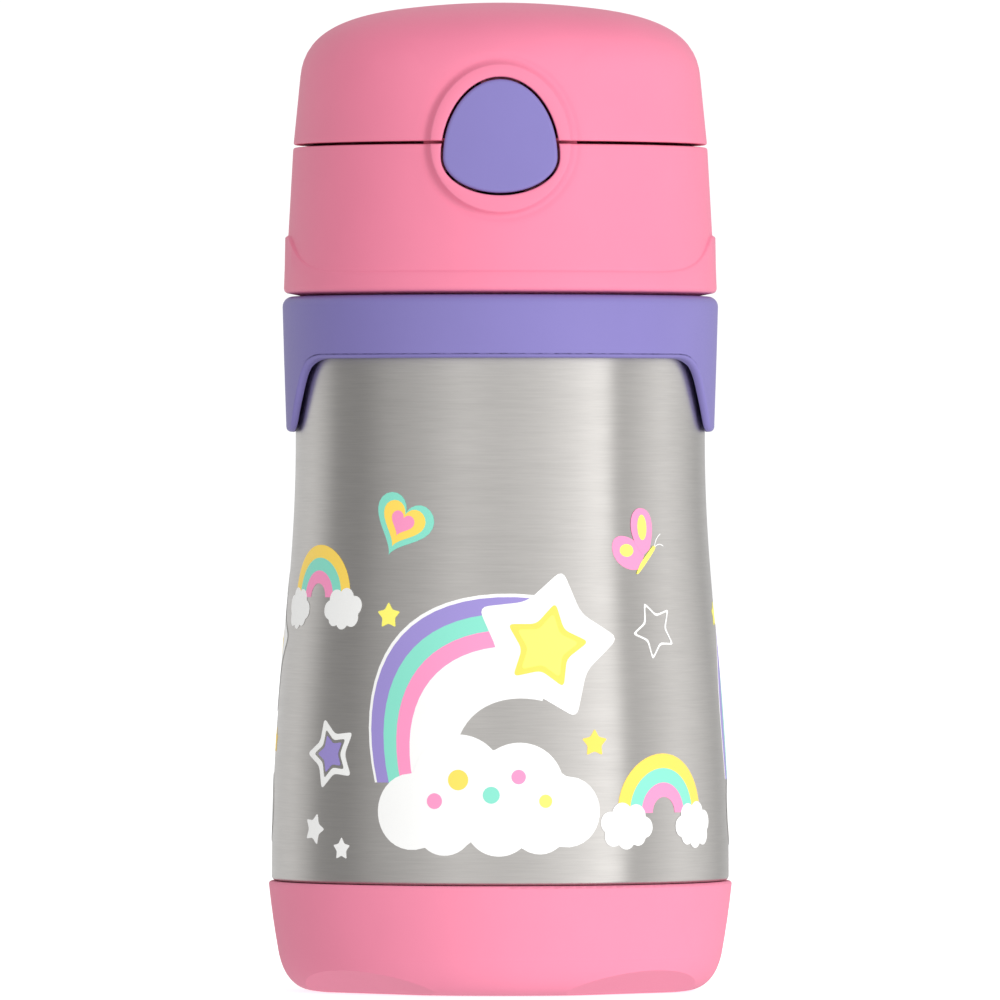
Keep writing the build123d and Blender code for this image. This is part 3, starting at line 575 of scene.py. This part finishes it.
def wrap_sheet(bm, outside, inside, edge_height, edge_side):
    """Bends the thick flat sheet round the bottle and raises the button's surround."""
    ends = [f for f in bm.faces if all(abs(v.co.x) > SHEET_END - 0.01 for v in f.verts)]
    bmesh.ops.delete(bm, geom=ends, context="FACES")
    for vert in bm.verts:
        u, row, depth = vert.co
        beyond_opening = math.hypot(u, row - SEAM) - opening(u, row)
        radius, height = outside(u, row)
        angle = sheet_angle(u, outside(0, min(max(row, LID_LOW), WINDOW_TOP))[0])
        if abs(depth) < 0.5:
            near_edge = rounding(max(edge_side * (edge_height - row), 0), EDGE)
            radius -= near_edge
            x, y = radius * math.sin(angle), -radius * math.cos(angle)
            if abs(u) < WINDOW and WINDOW_LOW < row < WINDOW_TOP:
                share, hollow = surround_share(u, row)
                y += (face_depth(x, row) + near_edge - y) * share + hollow
                y += rounding(max(beyond_opening, 0), EDGE)
        else:
            radius, height = inside(row)
            x, y = radius * math.sin(angle), -radius * math.cos(angle)
            straight = 1 - smooth_step(abs(angle), math.radians(24), math.radians(38))
            if straight > 0 and row < WINDOW_TOP:
                fade = straight * (1 - smooth_step(row, WINDOW_TOP - 3, WINDOW_TOP))
                front_x = outside(u, row)[0] * math.sin(angle)
                x += (front_x - x) * fade
                y += (-math.sqrt(radius * radius - front_x * front_x) - y) * fade
            if abs(u) < WINDOW and beyond_opening < BOSS_WALL:
                y = BOSS_BACK
        vert.co = (x, y, height)
    bmesh.ops.remove_doubles(bm, verts=bm.verts, dist=2e-4)
    bmesh.ops.recalc_face_normals(bm, faces=bm.faces)


def notch(bm, inner, outer, low, high, radius):
    """Takes a rectangle out of the flat sheet near its two ends, for the hinge."""
    near, far = back_place(outer, radius), (back_place(inner, radius) if inner else SHEET_END + 1)
    for side in (-1, 1):
        for place in (near, far):
            cut(bm, (side * place, 0, 0), (1, 0, 0))
    for height in (low, high):
        cut(bm, (0, height, 0), (0, 1, 0))
    gone = [f for f in bm.faces if near < abs(f.calc_center_median().x) < far
            and low < f.calc_center_median().y < high]
    bmesh.ops.delete(bm, geom=gone, context="FACES")


def lid_skin():
    """The lid's wall with its raised band, the lower half of the surround and of the opening."""
    hem = 0.9
    low_rows = [LID_LOW + d for d in (0.0, 0.03, 0.12, 0.3, 0.55, 0.9, 1.8)]
    low_rows += [BAND_LOW + d for d in (-0.4, -0.2, -0.08, 0.0, 0.08, 0.2, 1.7, 3.2, 4.8, 6.2)]
    bm = surround_sheet(low_rows, [])
    top = SEAM - SEAM_GAP / 2
    for drop in (EDGE, 0.2, 0.1, 0.03):
        cut(bm, (0, top - drop, 0), (0, 1, 0))
    cut(bm, (0, top, 0), (0, 1, 0), clear=True)
    notch(bm, 0, 8.95, top - 3.0, top + 1, lid_wall(SEAM))
    bmesh.ops.solidify(bm, geom=bm.faces[:], thickness=1.0)
    edge_y, edge_z = [y for y, _ in BAND_EDGE], [z for _, z in BAND_EDGE]

    def outside(u, row):
        angle = sheet_angle(u, lid_wall(row))
        edge = float(np.interp(abs(math.cos(angle)) * BAND_RADIUS, edge_y, edge_z))
        height = float(np.interp(
            row,
            [LID_LOW, LID_LOW + 1, BAND_LOW - 0.4, BAND_LOW + 0.2, WINDOW_LOW, WINDOW_TOP],
            [LID_LOW, LID_LOW + 1, edge - 0.4, edge + 0.2, WINDOW_LOW, WINDOW_TOP],
        ))
        proud = 1 - smooth_step(row, BAND_LOW - 0.36, BAND_LOW + 0.1)
        band = float(np.interp(height, [124.6, 127.1], [BAND_RADIUS, BAND_RADIUS - 0.2]))
        radius = lid_wall(height) + max(band - lid_wall(height), 0.25) * proud
        return radius - rounding(row - LID_LOW, hem), height

    def inside(row):
        return LID_INNER, outside(0, row)[1] - (0.42 if row < LID_LOW + 0.01 else 0)

    wrap_sheet(bm, outside, inside, top, 1)
    return piece(bm, "lid_skin", pink_plastic, "lid", ["lid_shell"])


def cover_skin():
    """The domed cover with the upper half of the surround."""
    high_rows = [z for _, z in COVER_OUT if z > WINDOW_TOP + 0.2]
    bm = surround_sheet([], high_rows)
    low = SEAM + SEAM_GAP / 2
    for rise in (EDGE, 0.2, 0.1, 0.03):
        cut(bm, (0, low + rise, 0), (0, 1, 0))
    cut(bm, (0, low, 0), (0, -1, 0), clear=True)
    notch(bm, 8.7, 13.75, low - 1, SEAM + 2.1, lid_wall(SEAM))
    bmesh.ops.solidify(bm, geom=bm.faces[:], thickness=1.0)

    def outside(u, row):
        return float(np.interp(row, COVER_HEIGHTS, [r for r, _ in COVER_OUT])), row

    def inside(row):
        return (float(np.interp(row, COVER_HEIGHTS, [r for r, _ in COVER_IN])),
                float(np.interp(row, COVER_HEIGHTS, [z for _, z in COVER_IN])))

    wrap_sheet(bm, outside, inside, low, -1)
    return piece(bm, "cover_skin", pink_plastic, "cover", ["flip_cover"])


lid_skin()
cover_skin()


# ---- hinge ------------------------------------------------------------------------------------
HINGE_Y = 35.6
KNUCKLE_RADIUS = 3.0
KNUCKLE_HALF = 8.7
EAR_INNER = 9.0
EAR_OUTER = 13.4
EAR_ROOT = 131.0             # height where the ears run into the lid's wall


def hinge_arm(bm, x0, x1, y, z, radius):
    """A knuckle that tapers into the wall, with softened ends."""
    arm = bmesh.new()
    for at_y, at_z, at_radius in ((HINGE_Y, SEAM, KNUCKLE_RADIUS), (y, z, radius)):
        place = Matrix.Translation(((x0 + x1) / 2, at_y, at_z)) @ Matrix.Rotation(math.pi / 2, 4, "Y")
        bmesh.ops.create_cone(arm, segments=48, radius1=at_radius, radius2=at_radius, depth=x1 - x0,
                              cap_ends=True, matrix=place)
    hull = bmesh.ops.convex_hull(arm, input=arm.verts[:])
    unused = {g for g in hull["geom_interior"] + hull["geom_unused"] if isinstance(g, bmesh.types.BMVert)}
    bmesh.ops.delete(arm, geom=list(unused), context="VERTS")
    bmesh.ops.dissolve_limit(arm, angle_limit=math.radians(1), verts=arm.verts[:], edges=arm.edges[:])
    rims = [e for e in arm.edges if len(e.link_faces) == 2 and e.calc_face_angle() > 1.2]
    bmesh.ops.bevel(arm, geom=rims, offset=0.45, offset_type="OFFSET", segments=4, profile=0.5,
                    affect="EDGES", material=-1, clamp_overlap=True)
    bmesh.ops.recalc_face_normals(arm, faces=arm.faces)
    carrier = bpy.data.meshes.new("hinge_arm_part")
    arm.to_mesh(carrier)
    arm.free()
    bm.from_mesh(carrier)
    bpy.data.meshes.remove(carrier)


ears = bmesh.new()
for x0, x1 in ((-EAR_OUTER, -EAR_INNER), (EAR_INNER, EAR_OUTER)):
    hinge_arm(ears, x0, x1, lid_wall(EAR_ROOT) - 1.9, EAR_ROOT, 1.5)
piece(ears, "hinge_ears", pink_plastic, "lid", ["lid_shell"])
barrel = bmesh.new()
hinge_arm(barrel, -KNUCKLE_HALF, KNUCKLE_HALF, 32.85, 150.0, 0.8)
piece(barrel, "cover_knuckle", pink_plastic, "cover", ["flip_cover"])


# ---- mouthpiece -------------------------------------------------------------------------------
MOUTH_Y = 2.0
BEND_START = 137.0
BEND_RADIUS = 5.5
FOLD = math.radians(62)
BEND_LENGTH = BEND_RADIUS * FOLD


def mouthpiece():
    """Flange, neck and spout of one silicone moulding, turned straight and then bent to its place."""
    bend_end = BEND_START + BEND_LENGTH
    tip = bend_end + 20.0
    outline = [(11.0, 132.42), (11.0, 133.5), (10.72, 133.78), (9.1, 133.78)]
    outline += [(8.8, 134.0), (8.8, 135.0), (8.6, 135.2)]
    outline += bezier((8.2, 135.25), (6.4, 135.5), (5.05, 135.7), (5.0, BEND_START), 8)
    for k in spaced(0, 1, 14)[1:]:
        outline.append((5.0 - 0.1 * math.sin(math.pi * k) - 0.02 * k, BEND_START + BEND_LENGTH * k))
    outline += [(4.98 - 0.38 * k, bend_end + 14 * k) for k in spaced(0, 1, 6)[1:]]
    outline += bezier((4.6, tip - 6), (4.3, tip - 4), (4.3, tip - 3), (4.6, tip - 1.6), 8)[1:]
    outline += bezier((4.6, tip - 1.6), (4.7, tip - 0.4), (3.9, tip), (3.3, tip), 8)[1:]
    outline += [(2.8, tip - 0.1), (2.6, tip - 0.4)]
    outline += [(2.6, z) for z in spaced(tip - 6, 130.5, 36)]
    outline += [(3.42, 130.5), (3.42, 122.0), (4.8, 122.0), (5.0, 132.42)]
    bm = lathe(outline, 64)
    for vert in bm.verts:
        x, y, along = vert.co
        turn = min(max((along - BEND_START) / BEND_RADIUS, 0), FOLD)
        past = max(along - BEND_START - BEND_LENGTH, 0)
        level = min(along, BEND_START)
        reach = BEND_RADIUS + y
        vert.co = (
            x,
            MOUTH_Y - BEND_RADIUS + reach * math.cos(turn) - past * math.sin(turn),
            level + reach * math.sin(turn) + past * math.cos(turn),
        )
    obj = piece(bm, "mouthpiece", silicone, None)
    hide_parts("mouthpiece_base", "mouthpiece_neck", "mouthpiece_spout")
    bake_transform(obj)
    return obj


mouthpiece()


# ---- printed motifs ---------------------------------------------------------------------------
FILM = 0.03                  # step between layers of ink, and the thickness of each
FILM_BASE = 0.045            # height of the first layer's face over the steel


def soften(points, share=0.22, steps=4):
    """Rounds the corners of a straight-sided outline."""
    out = []
    for before, here, after in zip(points[-1:] + points[:-1], points, points[1:] + points[:1]):
        start = [h + (b - h) * share for h, b in zip(here, before)]
        end = [h + (a - h) * share for h, a in zip(here, after)]
        for i in range(steps + 1):
            t = i / steps
            weights = ((1 - t) ** 2, 2 * t * (1 - t), t * t)
            out.append(tuple(sum(w * p[k] for w, p in zip(weights, (start, here, end))) for k in (0, 1)))
    return out


def moved(points, x=0.0, y=0.0, size=1.0, turn=0.0):
    c, s = math.cos(math.radians(turn)), math.sin(math.radians(turn))
    return [(x + size * (px * c - py * s), y + size * (px * s + py * c)) for px, py in points]


def star(radius, waist=0.55):
    corners = [(radius * (1 if k % 2 == 0 else waist), math.radians(90 + 36 * k)) for k in range(10)]
    return soften([(r * math.cos(a), r * math.sin(a)) for r, a in corners])


def star_ring(outer, inner, colour, level):
    """The strip between two stars, as two halves."""
    half = len(outer) // 2
    outer, inner = outer + outer[:1], inner + inner[:1]
    return [
        (outer[:half + 1] + inner[:half + 1][::-1], colour, level),
        (outer[half:] + inner[half:][::-1], colour, level),
    ]


def disc(x, y, radius, stretch=1.0):
    return [(px, y + (py - y) * stretch) for px, py in arc((x, y), radius, 0, 345, 23)]


def heart(width):
    out = []
    for k in range(40):
        t = math.pi + TURN * k / 40 + 0.001
        height = 13 * math.cos(t) - 5 * math.cos(2 * t) - 2 * math.cos(3 * t) - math.cos(4 * t)
        out.append((16 * math.sin(t) ** 3, height))
    return moved(out, size=width / 32)


def hoop(inner, outer, start=0, end=180):
    return arc((0, 0), outer, start, end, 24) + arc((0, 0), inner, end, start, 24)


def cloud(lobes, steps=72):
    """The outline of overlapping round lobes (x, y, radius), seen from their middle."""
    out = []
    for k in range(steps):
        dx, dy = math.cos(TURN * k / steps), math.sin(TURN * k / steps)
        reach = 0.3
        for x, y, radius in lobes:
            along, off = x * dx + y * dy, x * dy - y * dx
            if abs(off) < radius:
                reach = max(reach, along + math.sqrt(radius * radius - off * off))
        out.append((reach * dx, reach * dy))
    return out


def ribbon(near, far):
    """The area between two curves, each given by its four control points."""
    return bezier(*near, 20) + bezier(*far, 20)[::-1]


def between(near, far, share):
    return [tuple(a + (b - a) * share for a, b in zip(p, q)) for p, q in zip(near, far)]


def rainbow_layers(size):
    """Three bands whose ends stand in a pair of clouds."""
    layers = []
    band = 0.245
    for k, colour in enumerate(("yellow", "mint", "pink")):
        layers.append((hoop((1 - band * (k + 1)) * size, (1 - band * k) * size), colour, 0))
    puff = cloud([(-0.36, -0.02, 0.18), (-0.19, 0.17, 0.2), (0.09, 0.2, 0.2), (0.32, 0.06, 0.19),
                  (0.27, -0.17, 0.17), (0.02, -0.22, 0.17), (-0.22, -0.17, 0.16)], 96)
    for side in (-1, 1):
        mirrored = [(side * x, y) for x, y in puff][::side]
        layers.append((moved(mirrored, side * 0.82 * size, -0.22 * size, size), "white", 1))
    return layers


def butterfly_layers():
    """A butterfly seen from its side, with two wings raised."""
    upper = bezier((-0.8, 0), (-4.4, 3.2), (-3.6, 8.0), (-0.9, 7.8))
    upper += bezier((-0.9, 7.8), (2.4, 7.6), (1.8, 3.0), (0.6, 0.8))[1:]
    lower = bezier((-0.4, 0.4), (-2.6, 3.4), (-7.0, 4.4), (-7.2, 1.4))
    lower += bezier((-7.2, 1.4), (-7.2, -1.8), (-3.6, -3.0), (-1.5, -2.2))[1:]
    body = soften([(-2.6, -3.2), (-1.9, -3.0), (2.3, 1.2), (1.7, 1.7), (-1.4, -1.2)], 0.3)
    feelers = (
        ribbon([(1.9, 1.4), (2.2, 2.6), (2.8, 3.2), (3.6, 3.6)],
               [(2.05, 1.35), (2.35, 2.5), (2.9, 3.05), (3.65, 3.45)]),
        ribbon([(2.0, 1.4), (2.8, 2.0), (3.6, 2.0), (4.3, 1.5)],
               [(2.05, 1.25), (2.8, 1.85), (3.5, 1.85), (4.2, 1.4)]),
    )
    return [
        (lower, "pink", 0), (upper, "pink", 1), (body, "lemon", 2),
        (disc(-4.3, 0.8, 1.4, 0.75), "lemon", 1), (disc(-0.8, 4.6, 1.0, 2.1), "lemon", 2),
    ] + [(feeler, "white", 0) for feeler in feelers]


def shooting_star_layers():
    """A large star whose striped tail curls down and round a cloud."""
    far = [(11.0, 18.0), (-12.0, 22.0), (-25.0, 9.0), (-19.5, -12.0)]
    near = [(9.0, 2.0), (0.0, 4.0), (-7.5, -1.0), (-6.0, -12.0)]
    layers = [(ribbon(between(near, far, -0.03), between(near, far, 1.03)), "white", 0)]
    for start, colour in ((0.5, "pink"), (0.665, "mint"), (0.83, "purple")):
        layers.append((ribbon(between(near, far, start), between(near, far, start + 0.165)), colour, 1))
    for level, (shape, colour) in enumerate(
            ((star(13.0, 0.62), "white"), (star(7.4), "yellow"), (star(5.6), "lemon")), 2):
        layers.append((moved(shape, 9.5, 10.5, 1, -12), colour, level))
    bank = cloud([(-11, -2, 5.6), (-4, 2.5, 6.8), (5, 1.5, 6.6), (12, -2, 5.2),
                  (2, -3.5, 5.0), (-6, -4, 4.4), (8, -4, 4.2)], 120)
    layers.append((moved(bank, -0.5, -14.5, 1.13), "white", 2))
    for x, y, size, colour in ((-9, -15, 1.3, "pink"), (-5, -11.5, 1.7, "yellow"), (0.5, -14, 1.4, "mint"),
                               (5, -11, 1.2, "pink"), (9.5, -15, 1.1, "lemon")):
        layers.append((disc(x, y, size), colour, 3))
    for x, y, size, colour in ((-17.5, 15.5, 2.3, "lemon"), (18.0, -5.5, 2.4, "yellow")):
        layers.append((moved(star(size), x, y), colour, 0))
    return layers


def motif(name, azimuth, height, layers, tilt=0.0):
    """Prints flat shapes (outline, ink, level) on the flask, their middle at azimuth and height."""
    bm = bmesh.new()
    used = sorted({colour for _, colour, _ in layers})
    for outline, colour, level in layers:
        verts = [bm.verts.new((x, y, level * FILM)) for x, y in moved(outline, turn=tilt)]
        face = bm.faces.new(verts)
        face.material_index = used.index(colour)
        face.normal_update()
        if face.normal.z < 0:
            face.normal_flip()
    bmesh.ops.triangulate(bm, faces=bm.faces[:])
    # lines close enough for the shapes to follow the steel's curve
    for normal, step in ((Vector((1, 0, 0)), 1.6), (Vector((0, 1, 0)), 4.0)):
        places = [vert.co.dot(normal) for vert in bm.verts]
        start, end = min(places), max(places)
        for k in range(1, int((end - start) / step) + 1):
            cut(bm, (start + k * step) * normal, normal)
    bmesh.ops.solidify(bm, geom=bm.faces[:], thickness=FILM)
    for vert in bm.verts:
        x, y, lift = vert.co
        z = height + y
        radius = flask_radius(z) + FILM_BASE + lift
        angle = math.radians(azimuth) + x / flask_radius(z)
        vert.co = (radius * math.sin(angle), -radius * math.cos(angle), z)
    bmesh.ops.recalc_face_normals(bm, faces=bm.faces)
    return piece(bm, name, [painted_glow_inks[colour] for colour in used], "flask", sharp=60)


def heart_layers(size):
    return [(heart(size), "mint", 0), (heart(size * 0.74), "yellow", 1), (heart(size * 0.4), "pink", 2)]


def badge_layers():
    """A purple star inside a white star-shaped ring."""
    return star_ring(star(6.2), star(4.3), "white", 0) + [(star(3.3), "purple", 0)]


def star_line_layers():
    return star_ring(star(5.1, 0.52), star(4.5, 0.5), "white", 0)


for name, azimuth, height, layers, tilt in (
    ("print_shooting_star", -3, 47.3, shooting_star_layers(), 0),
    ("print_shooting_star_right", 112, 47.3, shooting_star_layers(), 0),
    ("print_shooting_star_left", -113, 47.3, shooting_star_layers(), 0),
    ("print_heart", -28, 78.2, heart_layers(11), -24),
    ("print_rainbow_left", -58.6, 65.8, rainbow_layers(8.7), 0),
    ("print_star_badge", -48.4, 39.9, badge_layers(), 18),
    ("print_star_small_a", -54, 27.4, [(star(2.75), "white", 0)], -18),
    ("print_star_small_b", -43.5, 24.2, [(star(2.0), "white", 0)], 0),
    ("print_butterfly", 43.8, 72.8, butterfly_layers(), 0),
    ("print_star_line", 45.3, 60.4, star_line_layers(), 25),
    ("print_rainbow_right", 45.4, 30.2, rainbow_layers(9.8), 0),
    ("print_rainbow_back", 165, 66, rainbow_layers(8.6), 0),
    ("print_heart_back", 190, 80, heart_layers(10), 20),
    ("print_star_badge_back", 197, 40, badge_layers(), -10),
    ("print_butterfly_back", 160, 34, butterfly_layers(), 0),
):
    motif(name, azimuth, height, layers, tilt)


# ---- studio -----------------------------------------------------------------------------------
def floor():
    bm = bmesh.new()
    bmesh.ops.create_circle(bm, cap_ends=True, segments=96, radius=9000)
    bmesh.ops.translate(bm, vec=(0, 0, -0.15), verts=bm.verts)
    finish = Finish("studio_floor", Roughness=0.9)
    finish.tint(finish.noise((3, 3, 3)), (0.84, 0.84, 0.84), (0.86, 0.86, 0.86))
    finish.shader.inputs["Emission Color"].default_value = (1, 1, 1, 1)
    finish.shader.inputs["Emission Strength"].default_value = 0.65
    obj = piece(bm, "studio_floor", finish.material)
    obj.visible_glossy = False
    obj.visible_diffuse = False


ROOM_LIGHT = 1.65


def world():
    """A white backdrop for the camera, and a studio with a bright right side for light and reflections."""
    studio = bpy.data.worlds.new("studio")
    bpy.context.scene.world = studio
    studio.use_nodes = True
    tree = studio.node_tree
    tree.nodes.clear()
    add, link = tree.nodes.new, tree.links.new
    way = add("ShaderNodeTexCoord")
    split = add("ShaderNodeSeparateXYZ")
    link(way.outputs["Generated"], split.inputs[0])
    flip = add("ShaderNodeMath")
    flip.operation = "MULTIPLY"
    flip.inputs[1].default_value = -1
    link(split.outputs["Y"], flip.inputs[0])
    turn = add("ShaderNodeMath")
    turn.operation = "ARCTAN2"
    link(split.outputs["X"], turn.inputs[0])
    link(flip.outputs[0], turn.inputs[1])
    share = add("ShaderNodeMapRange")
    share.inputs["From Min"].default_value = -math.pi
    share.inputs["From Max"].default_value = math.pi
    link(turn.outputs[0], share.inputs["Value"])
    ramp = add("ShaderNodeValToRGB")
    stops = [(-180, 0.45), (-150, 0.43), (-130, 0.51), (-117, 0.4), (-106, 0.215), (-84, 0.22), (-66, 0.35),
             (-45, 0.43), (-22, 0.585), (0, 0.53), (22, 0.6), (45, 0.79), (57, 0.98), (64, 1.0), (68, 0.36),
             (85, 0.51), (104, 0.69), (120, 0.58), (145, 0.34), (180, 0.45)]
    while len(ramp.color_ramp.elements) < len(stops):
        ramp.color_ramp.elements.new(0.5)
    for element, (degrees, value) in zip(ramp.color_ramp.elements, stops):
        element.position = (degrees + 180) / 360
        element.color = (value, value, value * 0.995, 1)
    link(share.outputs[0], ramp.inputs["Fac"])
    path = add("ShaderNodeLightPath")
    ceiling = add("ShaderNodeMapRange")
    ceiling.interpolation_type = "SMOOTHSTEP"
    ceiling.inputs["From Min"].default_value = 0.3
    ceiling.inputs["From Max"].default_value = 0.95
    ceiling.inputs["To Min"].default_value = ROOM_LIGHT
    ceiling.inputs["To Max"].default_value = 0.5 * ROOM_LIGHT
    link(split.outputs["Z"], ceiling.inputs["Value"])
    soften_room = add("ShaderNodeMapRange")
    soften_room.inputs["To Min"].default_value = 1.0
    soften_room.inputs["To Max"].default_value = 1.17
    link(path.outputs["Is Diffuse Ray"], soften_room.inputs["Value"])
    strength = add("ShaderNodeMath")
    strength.operation = "MULTIPLY"
    link(ceiling.outputs["Result"], strength.inputs[0])
    link(soften_room.outputs["Result"], strength.inputs[1])
    room = add("ShaderNodeBackground")
    link(strength.outputs[0], room.inputs["Strength"])
    link(ramp.outputs["Color"], room.inputs["Color"])
    plain = add("ShaderNodeBackground")
    plain.inputs["Color"].default_value = (1, 1, 1, 1)
    plain.inputs["Strength"].default_value = 1.05
    mix = add("ShaderNodeMixShader")
    link(path.outputs["Is Camera Ray"], mix.inputs["Fac"])
    link(room.outputs[0], mix.inputs[1])
    link(plain.outputs[0], mix.inputs[2])
    out = add("ShaderNodeOutputWorld")
    link(mix.outputs[0], out.inputs["Surface"])


def softbox(name, place, target, size, power):
    light = bpy.data.lights.new(name, "AREA")
    light.shape = "SQUARE"
    light.size = size
    light.energy = power
    obj = bpy.data.objects.new(name, light)
    obj.location = place
    obj.rotation_euler = (Vector(target) - Vector(place)).to_track_quat("-Z", "Y").to_euler()
    obj.visible_camera = False
    obj.visible_glossy = False
    bpy.context.scene.collection.objects.link(obj)


def camera():
    data = bpy.data.cameras.new("camera")
    data.sensor_width = 36
    data.lens = 559.8
    data.clip_end = 50
    obj = bpy.data.objects.new("camera", data)
    obj.location = (-0.00005, -2.6, 0.0853)
    obj.rotation_euler = (Vector((-0.00005, 0, 0.0819)) - obj.location).to_track_quat("-Z", "Y").to_euler()
    bpy.context.scene.collection.objects.link(obj)
    bpy.context.scene.camera = obj


floor()
world()
camera()
softbox("key_light", (1.5, -2.05, 0.9), (0, 0, 0.1), 1.2, 19)
softbox("fill_light", (-1.7, -1.9, 0.9), (0, 0, 0.1), 1.2, 3)
softbox("top_light", (0.0, -1.2, 2.2), (0, 0, 0.1), 1.4, 1.5)
bpy.context.scene.view_settings.view_transform = "Standard"
